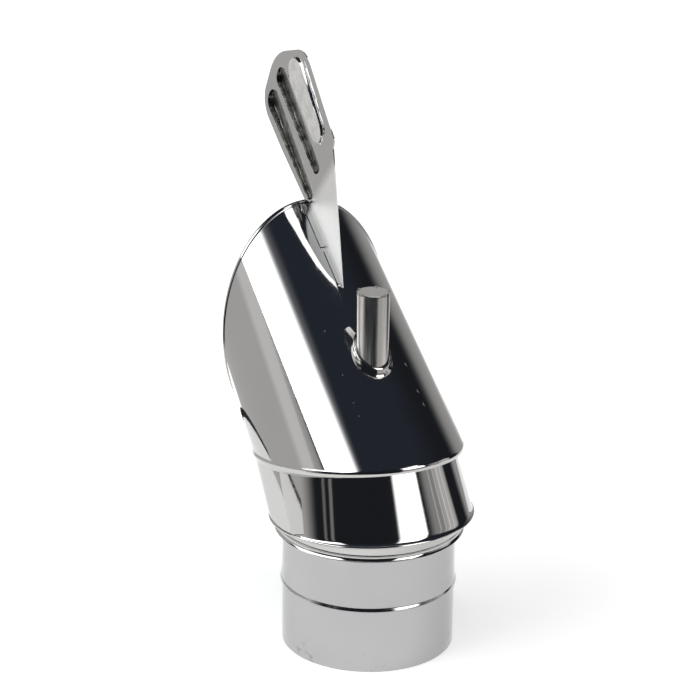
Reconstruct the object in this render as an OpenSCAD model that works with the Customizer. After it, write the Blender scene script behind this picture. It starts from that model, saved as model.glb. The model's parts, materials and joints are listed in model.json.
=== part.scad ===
// Wind-turned chimney cowl: a fixed flue spigot carries an upright spindle,
// and a two-piece hood with a wind vane turns on two ball bearings round it.
// Units are millimetres, +Z is up, and the origin is the centre of the
// spigot's lower edge. The mouth of the hood faces -X.

/* [Flue spigot] */
// Outside diameter of the spigot
spigot_d = 150; // [140:1:160]
// Sheet thickness of the spigot
spigot_wall = 0.8; // [0.5:0.1:1.5]
// Height of the spigot, of which the upper part is inside the hood
spigot_h = 140; // [132:1:150]
// Height of the stop bead above the lower edge
stop_z = 56; // [40:1:58]
// How far the stop bead stands proud
stop_proud = 1.8; // [1:0.1:3]
// Height of the stop bead
stop_w = 14; // [10:1:16]

/* [Spindle and its crossbars] */
// Diameter of the spindle, which is the bore of the bearings
spindle_d = 10; // [8:0.5:11]
// Length of spindle below the lower crossbar
spindle_tail = 14; // [10:1:18]
// Length of spindle above the upper bearing
spindle_tip = 8; // [7:0.5:9]
// Width of each crossbar
bar_w = 25; // [20:1:32]
// Thickness of each crossbar
bar_t = 2; // [1.5:0.1:3]
// Height of the bent ends that are welded to the spigot
bar_tab = 14; // [10:1:16]
// Inside radius of the bend at each end of a crossbar
bar_bend = 2.5; // [1:0.5:4]
// Height of the lower crossbar
low_bar_z = 76; // [75:1:84]
// Depth of the upper crossbar below the spigot's upper edge
top_bar_drop = 24; // [22:1:28]
// Width across the flats of the spindle's nuts
nut_af = 17; // [15:0.5:18]
// Height of each nut
nut_h = 8; // [6:0.5:9]

/* [Bearings and their tube] */
// Outside diameter of the bearings
bearing_d = 26; // [25:0.5:30]
// Width of the bearings
bearing_w = 8; // [7:0.5:10]
// Diameter of the balls
ball_d = 4.8; // [4:0.1:5]
// Balls in each bearing
ball_count = 7; // [6:1:8]
// Running gap between a ball and its tracks
ball_gap = 0.06; // [0.03:0.01:0.1]
// Underside of the lower bearing
low_bearing_z = 182; // [178:1:190]
// Underside of the upper bearing
top_bearing_z = 298; // [290:1:300]
// Wall of the bearing tube
tube_wall = 1; // [0.8:0.1:1.5]
// Length of the bearing tube below the lower bearing
tube_skirt = 6; // [5:0.5:9]
// Gap between the spindle's upper end and the cap
cap_gap = 3; // [1:0.5:6]
// Thickness of the cap
cap_t = 1; // [0.8:0.1:2]
// Height of the retaining rings
clip_t = 1.2; // [1:0.1:1.5]
// Depth of the retaining rings
clip_w = 1.8; // [1.4:0.1:2.2]

/* [Hood] */
// Sheet thickness of the hood
hood_wall = 0.8; // [0.6:0.1:1.2]
// Radial gap between the spigot and the hood's lower opening
flange_gap = 5.5; // [4:0.5:8]
// Height of the hood's lower opening
flange_z = 107.5; // [104:0.5:110]
// How far the hood's rim stands out beyond the spigot
rim_over = 15; // [12:0.5:18]
// Height of the rim's corner
rim_z = 118.5; // [116:0.5:121]
// How far the rim's centre lies behind the spindle
rim_shift = 5; // [2:0.5:7]
// Tilt of the rim's corner
rim_tilt = 2.9; // [0:0.1:5]
// How far the barrel stands out beyond the spigot at the seam
barrel_over = 11; // [8:0.5:13]
// Lean of the barrel from upright
barrel_lean = 47; // [44:0.5:50]
// Loss of radius for each millimetre along the barrel
barrel_taper = 0.044; // [0.02:0.002:0.06]
// Distance of the barrel's axis in front of the spindle at the seam
seam_shift = 28; // [25:0.5:31]
// Height of the seam on the barrel's axis
seam_z = 171.5; // [168:0.5:176]
// Tilt of the seam, up towards the back
seam_tilt = 10; // [7:0.5:13]
// Height of the turned-in bead under the seam
bead_h = 7.4; // [6:0.2:9]
// How far the bead bulges beyond the barrel
bead_proud = 0.8; // [0.4:0.1:1.4]
// Step from the barrel in to the ring at the back
step_back = 20; // [16:0.5:24]
// Step from the barrel in to the ring at the front
step_front = 3.5; // [3:0.5:6]
// Step from the barrel in to the ring at the sides
step_side = 1.7; // [1.7:0.1:3]
// Distance of the upright mouth in front of the spindle
mouth_x = 122.5; // [112:0.5:126]
// Width of the hem round the mouth
hem_w = 3; // [2:0.5:6]
// Thickness that the hem adds outside the barrel
hem_t = 0.9; // [0.6:0.1:1.5]

/* [Where the bearing tube leaves the hood] */
// Gap between the bearing tube and the lip of its hole
lip_gap = 0.7; // [0.4:0.1:1.5]
// Thickness of the lip
lip_t = 1.6; // [1:0.1:2.5]
// Height of the lip above the barrel
lip_h = 5.5; // [3:0.5:8]
// Width of the raised foot round the lip
lip_foot = 0.8; // [0.4:0.2:4]
// Thickness of the tube's bracket
bracket_t = 1.2; // [1:0.1:2]
// Width of the bracket's wings on the hood
wing_w = 26; // [18:1:30]
// Lower end of the wings, from the seam along the barrel
wing_low = -16; // [-22:1:-8]
// Upper end of the wings, from the seam along the barrel
wing_top = 80; // [72:1:88]
// Height of the bracket's web
web_z = 196; // [192:1:204]
// How far the web stands out in front of the tube and behind it
web_over = 8; // [5:0.5:12]

/* [Vane] */
// Thickness of the vane's sheet
vane_t = 1; // [0.8:0.1:1.5]
// Reach of the vane in front of the mouth
vane_reach = 112; // [95:1:120]
// Height of the vane over the mouth
vane_h = 77; // [70:1:82]
// Height of the vane's tip corner above the line of the barrel's back
tip_h = 101; // [98:1:108]
// Length of the vane's root on the barrel
root_l = 92; // [80:1:98]
// Depth of the pressed troughs at their deepest
press_d = 5.5; // [3:0.5:6.5]
// Width of the sloping wall of a trough
press_slope = 1.5; // [1.3:0.1:3]
// How far the sheet of a trough laps into the flat sheet round it
press_lap = 0.6; // [0.4:0.1:1]
// Width of the vane's welded feet
foot_w = 4.5; // [3:0.5:7]

/* [Hidden] */

steel = [0.78, 0.78, 0.77];
dull = [0.55, 0.56, 0.57];
big = 500;
around = 96;
$fn = 96;

// radii that follow from the sizes above
spigot_r = spigot_d / 2;
spindle_r = spindle_d / 2;
race_r = bearing_d / 2;
pitch_r = (spindle_r + race_r) / 2;
ball_r = ball_d / 2;
shoulder = ball_r * 0.68;
tube_r = race_r + tube_wall;
barrel_r = spigot_r + barrel_over;
opening_r = spigot_r + flange_gap;
rim_r = spigot_r + rim_over;
spindle_low = low_bar_z - spindle_tail;
spindle_top = top_bearing_z + bearing_w + spindle_tip;
top_bar_z = spigot_h - top_bar_drop;
tube_low = low_bearing_z - tube_skirt;
tube_top = spindle_top + cap_gap;

// The barrel is a slightly tapered tube that leans forward.
// Unit vectors along its axis and square to it, as [x, z].
axis_v = [-sin(barrel_lean), cos(barrel_lean)];
back_v = [cos(barrel_lean), sin(barrel_lean)];
seam_o = [-seam_shift, seam_z];
seam_v = [cos(seam_tilt), sin(seam_tilt)];
seam_n = [-sin(seam_tilt), cos(seam_tilt)];

// the tube's way through the barrel starts here, and its cylinder's own seam
// is turned off the hood's plane of symmetry
hole_z = seam_z + 40;
hole_turn = 37;
// how far along its axis the barrel is drawn before it is cut
span_low = -150;
span_high = 300;
// gap between sheets that are welded flat together, and between ring and bead
weld_gap = 0.1;

function lerp(a, b, u) = a + (b - a) * u;

// distance along the axis, from the seam's point on it, at which the
// barrel's back (side 1) or belly (side -1) meets the seam's plane
function seam_reach(r, side) =
    -side * r * sin(barrel_lean - seam_tilt)
    / (cos(barrel_lean - seam_tilt) - side * barrel_taper * sin(barrel_lean - seam_tilt));

// point [x, z] of the barrel's back or belly at that distance
function barrel_pt(r, s, side) = seam_o + s * axis_v + side * (r - barrel_taper * s) * back_v;

// A section is [centre x, centre z, half length x, half length z, half width].
// This one is where a barrel of radius r meets the seam's plane.
function seam_section(r) =
    let (p = barrel_pt(r, seam_reach(r, 1), 1),
         q = barrel_pt(r, seam_reach(r, -1), -1),
         c = (p + q) / 2,
         s = (c - seam_o) * axis_v,
         e = (c - seam_o) * back_v,
         rs = r - barrel_taper * s)
    [c.x, c.y, (p.x - q.x) / 2, (p.y - q.y) / 2, sqrt(rs * rs - e * e)];

// a section grown by g all round and sunk by depth square to the seam
function grow(sec, g, depth = 0) =
    [sec[0] - depth * seam_n.x, sec[1] - depth * seam_n.y,
     sec[2] + g * seam_v.x, sec[3] + g * seam_v.y, sec[4] + g];

// points of a section
function ring_pts(sec, n) =
    [for (i = [0:n - 1]) let (t = 360 * i / n)
        [sec[0] + sec[2] * cos(t), sec[4] * sin(t), sec[1] + sec[3] * cos(t)]];

// solid between loops of points: a closed ring of loops, or one capped at both ends
module loft(loops, closed) {
    n = len(loops[0]);
    m = len(loops);
    last = closed ? m - 1 : m - 2;
    sides = [for (i = [0:last], j = [0:n - 1])
        let (a = i * n + j, b = i * n + (j + 1) % n,
             c = ((i + 1) % m) * n + (j + 1) % n, d = ((i + 1) % m) * n + j)
        each [[a, b, c], [a, c, d]]];
    caps = closed ? [] : [[for (j = [n - 1:-1:0]) j], [for (j = [0:n - 1]) (m - 1) * n + j]];
    polyhedron(points = [for (l = loops) each l], faces = concat(sides, caps));
}

// Sections of the lower ring, from its opening up to the seam.
seam_sec = seam_section(barrel_r);
opening_sec = [0, flange_z, opening_r, 0, opening_r];
rim_sec = [rim_shift, rim_z, (rim_r - 0.5) * cos(rim_tilt), (rim_r - 0.5) * sin(rim_tilt), rim_r];
top_mid = (step_front - step_back) / 2;
top_cut = (step_front + step_back) / 2;
top_sec = [seam_sec[0] + top_mid * seam_v.x, seam_sec[1] + top_mid * seam_v.y,
           seam_sec[2] - top_cut * seam_v.x, seam_sec[3] - top_cut * seam_v.y,
           seam_sec[4] - step_side];
wall_rise = top_sec[1] - rim_sec[1];
round_low = 0.5;
round_top = 0.13;
bead_u = 1 - bead_h / wall_rise;
lap_u = bead_u + 0.035;

function band(u) = lerp(opening_sec, rim_sec, u);
function wall(u) = lerp(rim_sec, top_sec, u);
function corner(u) =
    lerp(lerp(band(round_low), rim_sec, u), lerp(rim_sec, wall(round_top), u), u);

// the sheet's inner face: the band is offset up and in, the wall straight in
function inside(sec, lift) =
    [sec[0], sec[1] + lift, sec[2] - hood_wall * 1.1, sec[3], sec[4] - hood_wall * 1.1];

ring_outer = concat([band(0), band(0.25)], [for (i = [0:5]) corner(i / 5)],
                    [wall(0.4), wall(bead_u), wall(lap_u)]);
ring_lift = [0.2, 0.5, 0.5, 0.45, 0.35, 0.2, 0.1, 0, 0, 0, 0];

// puts a child drawn along +Z onto the barrel's axis, with its X axis at the barrel's back
module on_barrel() {
    translate([seam_o.x, 0, seam_o.y]) rotate([0, -barrel_lean, 0]) children();
}
module barrel_solid(r) {
    on_barrel()
        translate([0, 0, span_low])
            cylinder(h = span_high - span_low, r1 = r - span_low * barrel_taper,
                     r2 = r - span_high * barrel_taper);
}
// a sheet of thickness w whose outer face is the barrel of radius r
module barrel_shell(r, w) {
    on_barrel()
        rotate_extrude()
            let (low = r - span_low * barrel_taper, high = r - span_high * barrel_taper)
                polygon([[low - w, span_low], [low, span_low], [high, span_high],
                         [high - w, span_high]]);
}
module above_seam() {
    translate([seam_o.x, 0, seam_o.y]) rotate([0, -seam_tilt, 0])
        translate([-big, -big, 0]) cube([2 * big, 2 * big, big]);
}
// the way of the bearing tube through the barrel's back
module tube_way(r) {
    translate([0, 0, hole_z]) rotate([0, 0, hole_turn]) cylinder(h = tube_top - hole_z, r = r);
}
module behind_mouth() {
    translate([-mouth_x, -big, 0]) cube([2 * big, 2 * big, big]);
}

// where the barrel's back meets the mouth, and the line of the back there
crest_s = (-mouth_x - seam_o.x - barrel_r * back_v.x) / (axis_v.x - barrel_taper * back_v.x);
crest = barrel_pt(barrel_r, crest_s, 1);
crest_raw = axis_v - barrel_taper * back_v;
crest_v = crest_raw / norm(crest_raw);
crest_n = [crest_v.y, -crest_v.x];

// Vane outline: p runs forward from the mouth, q stands off the barrel's back.
function vane_pt(p, q) = crest + p * crest_v + q * crest_n;

// one corner b between a and c, rounded to radius r
function rounded(a, b, c, r, n) =
    let (u = (a - b) / norm(a - b), v = (c - b) / norm(c - b),
         half = acos(u * v) / 2, m = (u + v) / norm(u + v),
         o = b + m * r / sin(half),
         t1 = b + u * r / tan(half),
         w = t1 - o, sweep = (u.x * v.y - u.y * v.x > 0 ? 1 : -1) * (180 - 2 * half))
    r == 0 ? [b] :
    [for (i = [0:n]) let (g = -sweep * i / n)
        o + [w.x * cos(g) - w.y * sin(g), w.x * sin(g) + w.y * cos(g)]];

// corners as [p, q, radius]
vane_corners = [[-root_l, -6, 0], [-root_l, 0, 0], [0, vane_h, 2], [4, vane_h + 7.5, 2],
                [vane_reach * 0.79, tip_h, 24], [vane_reach + 9, tip_h * 0.525, 45],
                [vane_reach - 5, -1.5, 24], [vane_reach * 0.5, -2.3, 60], [0, 0, 0], [0, -6, 0]];
vane_outline = [for (i = [0:len(vane_corners) - 1])
    let (k = len(vane_corners), a = vane_corners[(i + k - 1) % k], b = vane_corners[i],
         c = vane_corners[(i + 1) % k])
    each rounded([a[0], a[1]], [b[0], b[1]], [c[0], c[1]], b[2], 8)];

// Pressed troughs, each a tapered slot with a slanting floor: [lower end, radius, upper end,
// radius, lean]. With a lean above zero the floor sinks from the trough's rear edge, and with one
// below zero it rises from the front edge. The lean is a share of press_d.
troughs = [[[0, 11], 6.5, [vane_reach - 20, 17], 12, 1],
           [[9, 38.5], 7, [vane_reach - 15, 45.5], 10.5, 0.9],
           [[30, 64], 13, [vane_reach * 0.73, 71.5], 16.5, -0.6]];

// outline of a slot, drawn in by g
function slot(t, g, n) =
    let (d = t[2] - t[0], len_d = norm(d), a = atan2(d.y, d.x),
         k = acos((t[1] - t[3]) / len_d), r1 = t[1] - g, r2 = t[3] - g)
    concat([for (i = [0:n]) let (q = a + k + (360 - 2 * k) * i / n) t[0] + r1 * [cos(q), sin(q)]],
           [for (i = [0:n]) let (q = a - k + 2 * k * i / n) t[2] + r2 * [cos(q), sin(q)]]);
function flat_pts(pts, y) =
    [for (p = pts) let (v = vane_pt(p.x, p.y)) [v.x, y, v.y]];

// the slanting floor: its height at a point is in step with the distance from the edge it turns on
function floor_y(t, p) =
    let (d = t[2] - t[0], k = acos((t[1] - t[3]) / norm(d)), a = atan2(d.y, d.x) + sign(t[4]) * k)
    press_d * t[4] * (t[1] - (p - t[0]) * [cos(a), sin(a)]) / (2 * t[3]);
function floor_pts(t, g, n, lift) =
    [for (p = slot(t, g, n)) let (v = vane_pt(p.x, p.y)) [v.x, floor_y(t, p) + lift, v.y]];

module vane_slab(pts, t) {
    rotate([90, 0, 0]) translate([0, 0, -t / 2])
        linear_extrude(height = t) polygon([for (p = pts) vane_pt(p.x, p.y)]);
}

// The fixed part.

module spigot() {
    w = spigot_wall;
    z = stop_z;
    h = stop_w;
    p = stop_proud;
    outer = [[0, 0], [0, z], [p * 0.75, z + h * 0.07], [p, z + h * 0.22], [p * 0.92, z + h * 0.4],
             [p * 0.55, z + h * 0.65], [p * 0.18, z + h * 0.87], [0, z + h], [0, spigot_h]];
    color(steel)
        rotate_extrude()
            polygon(concat([for (q = outer) [spigot_r + q.x, q.y]],
                           [for (i = [len(outer) - 1:-1:0]) [spigot_r + outer[i].x - w, outer[i].y]]));
}

// a strip across the spigot, with its ends bent up and welded inside it
module crossbar(z) {
    reach = spigot_r - spigot_wall;
    o = bar_bend + bar_t;
    arc_o = [for (i = [0:6]) [reach - o + o * sin(15 * i), o - o * cos(15 * i)]];
    arc_i = [for (i = [6:-1:0]) [reach - o + bar_bend * sin(15 * i), o - bar_bend * cos(15 * i)]];
    half = concat([[0, 0]], arc_o, [[reach, bar_tab], [reach - bar_t, bar_tab]], arc_i, [[0, bar_t]]);
    color(dull)
        intersection() {
            difference() {
                translate([0, 0, z])
                    for (a = [0, 180]) rotate([0, 0, a + 90])
                        rotate([90, 0, 0]) translate([0, 0, -bar_w / 2])
                            linear_extrude(height = bar_w) polygon(half);
                translate([0, 0, z - 1]) cylinder(h = bar_t + 2, r = spindle_r);
            }
            cylinder(h = spigot_h, r = reach);
        }
}
module lower_crossbar() { crossbar(low_bar_z); }
module upper_crossbar() { crossbar(top_bar_z); }

module spindle() {
    color(dull)
        translate([0, 0, spindle_low])
            union() {
                translate([0, 0, 1]) cylinder(h = spindle_top - spindle_low - 2, r = spindle_r);
                cylinder(h = 1, r1 = spindle_r - 1, r2 = spindle_r);
                translate([0, 0, spindle_top - spindle_low - 1])
                    cylinder(h = 1, r1 = spindle_r, r2 = spindle_r - 1);
            }
}

module nut(z, h) {
    color(dull)
        translate([0, 0, z])
            difference() {
                intersection() {
                    cylinder(h = h, r = nut_af / sqrt(3), $fn = 6);
                    cylinder(h = h, r1 = nut_af / 2 + 0.4 + h * 2, r2 = nut_af / 2 + 0.4);
                }
                translate([0, 0, -1]) cylinder(h = h + 2, r = spindle_r);
            }
}
module crossbar_nuts(z) {
    nut(z - nut_h, nut_h);
    nut(z + bar_t, nut_h);
}
module lower_crossbar_nuts() { crossbar_nuts(low_bar_z); }
module upper_crossbar_nuts() { crossbar_nuts(top_bar_z); }
module bearing_nut() { nut(low_bearing_z - nut_h, nut_h); }
module spindle_nut() { nut(top_bearing_z + bearing_w, spindle_tip - 2); }

module inner_race(z) {
    color(dull)
        translate([0, 0, z])
            rotate_extrude()
                difference() {
                    translate([spindle_r, 0]) square([pitch_r - shoulder - spindle_r, bearing_w]);
                    translate([pitch_r, bearing_w / 2]) circle(r = ball_r + ball_gap, $fn = 48);
                }
}
module lower_inner_race() { inner_race(low_bearing_z); }
module upper_inner_race() { inner_race(top_bearing_z); }

module inner_spacer() {
    color(dull)
        translate([0, 0, low_bearing_z + bearing_w])
            difference() {
                cylinder(h = top_bearing_z - low_bearing_z - bearing_w, r = pitch_r - shoulder);
                translate([0, 0, -1]) cylinder(h = top_bearing_z, r = spindle_r);
            }
}

// The balls in their cages.

module ball_cage(z) {
    color(steel)
        translate([0, 0, z + bearing_w / 2]) {
            difference() {
                cylinder(h = ball_r * 1.5, r = pitch_r + shoulder * 0.4, center = true);
                cylinder(h = ball_r * 2, r = pitch_r - shoulder * 0.4, center = true);
            }
            for (i = [0:ball_count - 1])
                rotate([0, 0, 360 * i / ball_count]) translate([pitch_r, 0, 0])
                    sphere(r = ball_r, $fn = 24);
        }
}
module lower_ball_cage() { ball_cage(low_bearing_z); }
module upper_ball_cage() { ball_cage(top_bearing_z); }

// The turning part.

module outer_race(z) {
    inner = pitch_r + shoulder;
    color(dull)
        translate([0, 0, z])
            rotate_extrude()
                difference() {
                    translate([inner, 0]) square([race_r - inner, bearing_w]);
                    translate([pitch_r, bearing_w / 2]) circle(r = ball_r + ball_gap, $fn = 48);
                }
}
module lower_outer_race() { outer_race(low_bearing_z); }
module upper_outer_race() { outer_race(top_bearing_z); }

module sleeve(z, h, r, w) {
    translate([0, 0, z])
        difference() {
            cylinder(h = h, r = r);
            translate([0, 0, -1]) cylinder(h = h + 2, r = r - w);
        }
}
module outer_spacer() {
    color(dull)
        sleeve(low_bearing_z + bearing_w, top_bearing_z - low_bearing_z - bearing_w, race_r, 1.2);
}
module lower_retaining_ring() {
    color(dull) sleeve(low_bearing_z - clip_t, clip_t, race_r, clip_w);
}
module upper_retaining_ring() {
    color(dull) sleeve(top_bearing_z + bearing_w, clip_t, race_r, clip_w);
}
module bearing_tube() {
    color(steel) sleeve(tube_low, tube_top - tube_low, tube_r, tube_wall);
}
module tube_cap() {
    color(steel) translate([0, 0, tube_top]) cylinder(h = cap_t, r = tube_r - 0.15);
}
module cap_tack_welds() {
    color(dull)
        difference() {
            for (a = [15, 75, 140, 215, 290])
                rotate([0, 0, a]) translate([tube_r - 0.6, 0, tube_top + cap_t - 0.1])
                    sphere(r = 1.1, $fn = 16);
            translate([0, 0, tube_top]) cylinder(h = cap_t, r = tube_r - 0.15);
            translate([0, 0, tube_top - 10]) cylinder(h = 10, r = tube_r);
        }
}

// cheeks on both sides of the tube, wings on the inside of the barrel, and a web
module tube_bracket() {
    in_r = barrel_r - hood_wall - weld_gap;
    y0 = tube_r;
    y1 = tube_r + bracket_t;
    front = tube_r + web_over;
    color(dull)
        difference() {
            union() {
                intersection() {
                    barrel_shell(in_r, bracket_t);
                    on_barrel() for (side = [-1, 1])
                        translate([0, side > 0 ? y0 : -y0 - wing_w, wing_low])
                            cube([big, wing_w, wing_top - wing_low]);
                }
                intersection() {
                    barrel_solid(in_r - bracket_t / 2);
                    on_barrel() for (side = [-1, 1])
                        translate([0, side > 0 ? y0 : -y1, wing_low])
                            cube([big, bracket_t, wing_top - wing_low]);
                    translate([-front, -big, web_z]) cube([big, 2 * big, big]);
                }
                translate([-front, -y1, web_z]) cube([2 * front, 2 * y1, bracket_t]);
            }
            translate([0, 0, web_z - 1])
                rotate([0, 0, hole_turn]) cylinder(h = tube_top - web_z, r = tube_r);
        }
}

module tube_lip() {
    r0 = tube_r + lip_gap;
    r1 = r0 + lip_t;
    color(steel)
        difference() {
            union() {
                intersection() {
                    translate([0, 0, seam_z]) cylinder(h = tube_top - seam_z, r = r1);
                    barrel_solid(barrel_r + lip_h);
                }
                intersection() {
                    translate([0, 0, seam_z]) cylinder(h = tube_top - seam_z, r = r1 + lip_foot);
                    barrel_solid(barrel_r + lip_t);
                }
            }
            barrel_solid(barrel_r);
            cylinder(h = big, r = r0);
        }
}

module hood_ring() {
    color(steel)
        loft(concat([for (s = ring_outer) ring_pts(s, around)],
                    [for (i = [len(ring_outer) - 1:-1:0])
                        ring_pts(inside(ring_outer[i], ring_lift[i]), around)]), true);
}

// the barrel's turned-in end: a rounded bead that closes the step down to the ring
module seam_bead() {
    shell = hood_wall;
    loops = [grow(seam_sec, 0), grow(seam_sec, bead_proud * 0.7, bead_h * 0.15),
             grow(seam_sec, bead_proud, bead_h * 0.36), grow(seam_sec, bead_proud * 0.6, bead_h * 0.58),
             grow(seam_sec, -bead_proud * 0.3, bead_h * 0.76),
             grow(wall(bead_u), weld_gap), grow(wall(lap_u), weld_gap),
             grow(seam_sec, -shell * 1.1, bead_h * 0.6), grow(seam_sec, -shell, 0)];
    color(steel) loft([for (s = loops) ring_pts(s, around)], true);
}

module hood_barrel() {
    color(steel)
        difference() {
            intersection() {
                barrel_shell(barrel_r, hood_wall);
                above_seam();
                behind_mouth();
            }
            tube_way(tube_r + lip_gap);
        }
}

module mouth_hem() {
    color(steel)
        difference() {
            intersection() {
                barrel_solid(barrel_r + hem_t);
                above_seam();
                behind_mouth();
                translate([-mouth_x, -big, 0]) cube([hem_w, 2 * big, big]);
            }
            barrel_solid(barrel_r);
        }
}

// the sheet of one trough, from the flat of the vane down its walls to the floor
module pressing(t, arc) {
    half = vane_t / 2;
    front = press_slope - (t[4] < 0 ? half * 1.5 : 0);
    back = press_slope - (t[4] > 0 ? half * 1.5 : 0);
    edge = slot(t, 0, arc);
    lap = slot(t, -press_lap, arc);
    thick = half * 1.1;
    loft([floor_pts(t, back, arc, half), flat_pts(edge, thick), flat_pts(lap, thick),
          flat_pts(lap, -thick), flat_pts(edge, -thick), floor_pts(t, front, arc, -half)], false);
}

// a flat sheet in the hood's plane of symmetry, stiffened by three pressed troughs
module vane() {
    arc = 9;
    color(steel)
        difference() {
            union() {
                difference() {
                    vane_slab(vane_outline, vane_t);
                    for (t = troughs) vane_slab(slot(t, -press_lap / 2, arc), 3 * vane_t);
                }
                for (t = troughs) pressing(t, arc);
            }
            barrel_solid(barrel_r);
            intersection() {
                barrel_solid(barrel_r + hem_t);
                translate([-mouth_x - big, -big, 0]) cube([hem_w + big, 2 * big, big]);
            }
        }
}

// narrow strips bent off the vane's root and welded to the barrel
module vane_feet() {
    color(steel)
        difference() {
            intersection() {
                barrel_solid(barrel_r + vane_t);
                on_barrel() {
                    translate([0, -vane_t / 2 - foot_w, crest_s - root_l * 0.54])
                        cube([big, foot_w, root_l * 0.48]);
                    translate([0, -vane_t / 2 - foot_w * 0.7, crest_s - root_l + 3])
                        cube([big, foot_w * 0.7, root_l * 0.38]);
                }
            }
            barrel_solid(barrel_r);
        }
}

spigot();
lower_crossbar();
upper_crossbar();
spindle();
lower_crossbar_nuts();
upper_crossbar_nuts();
bearing_nut();
lower_inner_race();
inner_spacer();
upper_inner_race();
spindle_nut();
lower_ball_cage();
upper_ball_cage();
lower_outer_race();
outer_spacer();
upper_outer_race();
lower_retaining_ring();
upper_retaining_ring();
bearing_tube();
tube_cap();
cap_tack_welds();
tube_bracket();
tube_lip();
hood_ring();
seam_bead();
hood_barrel();
mouth_hem();
vane();
vane_feet();
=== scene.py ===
"""Looks of a wind-turned chimney cowl in polished stainless sheet.

Lengths are in millimetres, and MM turns them into metres when a mesh is made. The frame is that of the
CAD part: +Z up, the origin at the centre of the spigot's lower edge, the hood's mouth towards -X.
"""
import json
from math import acos, atan2, cos, pi, radians, sin, sqrt, tan

import bpy
import numpy as np
from mathutils import Matrix, Vector
from mathutils.geometry import delaunay_2d_cdt


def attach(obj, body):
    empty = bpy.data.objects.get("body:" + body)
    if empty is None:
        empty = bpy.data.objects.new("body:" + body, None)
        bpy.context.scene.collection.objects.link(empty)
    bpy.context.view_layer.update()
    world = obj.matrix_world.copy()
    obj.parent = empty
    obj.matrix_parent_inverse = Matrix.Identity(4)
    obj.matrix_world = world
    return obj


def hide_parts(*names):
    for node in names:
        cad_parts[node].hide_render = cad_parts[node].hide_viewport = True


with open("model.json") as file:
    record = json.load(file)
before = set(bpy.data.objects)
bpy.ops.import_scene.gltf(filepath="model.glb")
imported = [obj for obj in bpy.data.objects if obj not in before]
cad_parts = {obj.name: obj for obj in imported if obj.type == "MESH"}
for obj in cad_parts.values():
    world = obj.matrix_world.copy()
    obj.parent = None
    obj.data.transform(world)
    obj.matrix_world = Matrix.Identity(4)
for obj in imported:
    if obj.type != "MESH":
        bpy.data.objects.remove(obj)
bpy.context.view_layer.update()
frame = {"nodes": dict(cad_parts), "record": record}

MM = 0.001

# Sizes of the part, as its source has them.
SPIGOT_R = 75.0
SPIGOT_WALL = 0.8
SPIGOT_H = 140.0
STOP_Z = 56.0
STOP_PROUD = 1.8
STOP_W = 14.0
TUBE_R = 14.0
TUBE_WALL = 1.0
TUBE_LOW = 176.0
TUBE_TOP = 317.0
CAP_T = 1.0
HOOD_WALL = 0.8
OPENING_R = 80.5
FLANGE_Z = 107.5
RIM_R = 90.0
RIM_Z = 118.5
RIM_SHIFT = 5.0
RIM_SQUASH = 0.5
RIM_TILT = radians(2.9)
BARREL_R = 86.0
BARREL_LEAN = radians(47.0)
BARREL_TAPER = 0.044
SEAM_SHIFT = 28.0
SEAM_Z = 171.5
SEAM_TILT = radians(10.0)
BEAD_H = 7.4
BEAD_PROUD = 0.8
WELD_GAP = 0.1
BEAD_LAP = 0.035
STEP_BACK = 20.0
STEP_FRONT = 3.5
STEP_SIDE = 1.7
MOUTH_X = 122.5
HEM_W = 3.0
HEM_T = 0.9
LIP_GAP = 0.7
LIP_T = 1.6
LIP_H = 5.5
LIP_FOOT = 0.8
VANE_T = 1.0
VANE_REACH = 112.0
VANE_H = 77.0
TIP_H = 101.0
ROOT_L = 92.0
PRESS_D = 5.5
PRESS_SLOPE = 1.5

# Points round the circle on the ring and its bead, the hem, the spigot, and the small round pieces,
# and rows of points along the barrel.
RING_SIDES = 480
HEM_SIDES = 1440
SPIGOT_SIDES = 384
SMALL_SIDES = 192
BARREL_ROWS = 280


# Meshes.

def quads(rows, cols, wrap_rows=False, wrap_cols=False):
    """Faces of a grid of points with that many rows and columns."""
    i = np.arange(rows if wrap_rows else rows - 1)[:, None]
    j = np.arange(cols if wrap_cols else cols - 1)[None, :]
    below = (i + 1) % rows
    right = (j + 1) % cols
    corners = [i * cols + j, i * cols + right, below * cols + right, below * cols + j]
    return np.stack(np.broadcast_arrays(*corners), -1).reshape(-1, 4)


def open_edges(faces):
    """Edges that only one face has, each as that face runs along it."""
    edges = {}
    for face in faces:
        for pair in zip(face, face[1:] + face[:1]):
            if pair[::-1] in edges:
                del edges[pair[::-1]]
            else:
                edges[pair] = True
    return list(edges)


def volume(points, faces):
    """Signed volume inside quads or triangles."""
    total = 0.0
    faces = np.asarray(faces)
    for k in range(1, faces.shape[1] - 1):
        a, b, c = points[faces[:, 0]], points[faces[:, k]], points[faces[:, k + 1]]
        total += np.einsum("ij,ij->i", a, np.cross(b, c)).sum() / 6
    return total


def add_object(name, points, faces, body, material, crease):
    """A smooth object in the frame, sharp where its faces turn by more than crease degrees."""
    points = np.asarray(points, float).reshape(-1, 3)
    if not isinstance(faces, list):
        if volume(points, faces) < 0:
            faces = faces[:, ::-1]
        faces = faces.tolist()
    mesh = bpy.data.meshes.new(name)
    mesh.from_pydata((points * MM).tolist(), [], faces)
    mesh.update()
    mesh.shade_smooth()
    mesh.set_sharp_from_angle(angle=radians(crease))
    piece = bpy.data.objects.new(name, mesh)
    bpy.context.scene.collection.objects.link(piece)
    mesh.materials.append(material)
    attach(piece, body)
    return piece


def around(sides):
    """Angles of evenly spaced points round a circle."""
    return np.linspace(0, 2 * pi, sides, endpoint=False)


def closed_loft(name, loops, body, material, crease):
    """A ring-shaped solid through closed loops of points, the last joined to the first."""
    loops = np.asarray(loops, float)
    faces = quads(loops.shape[0], loops.shape[1], True, True)
    return add_object(name, loops, faces, body, material, crease)


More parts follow.
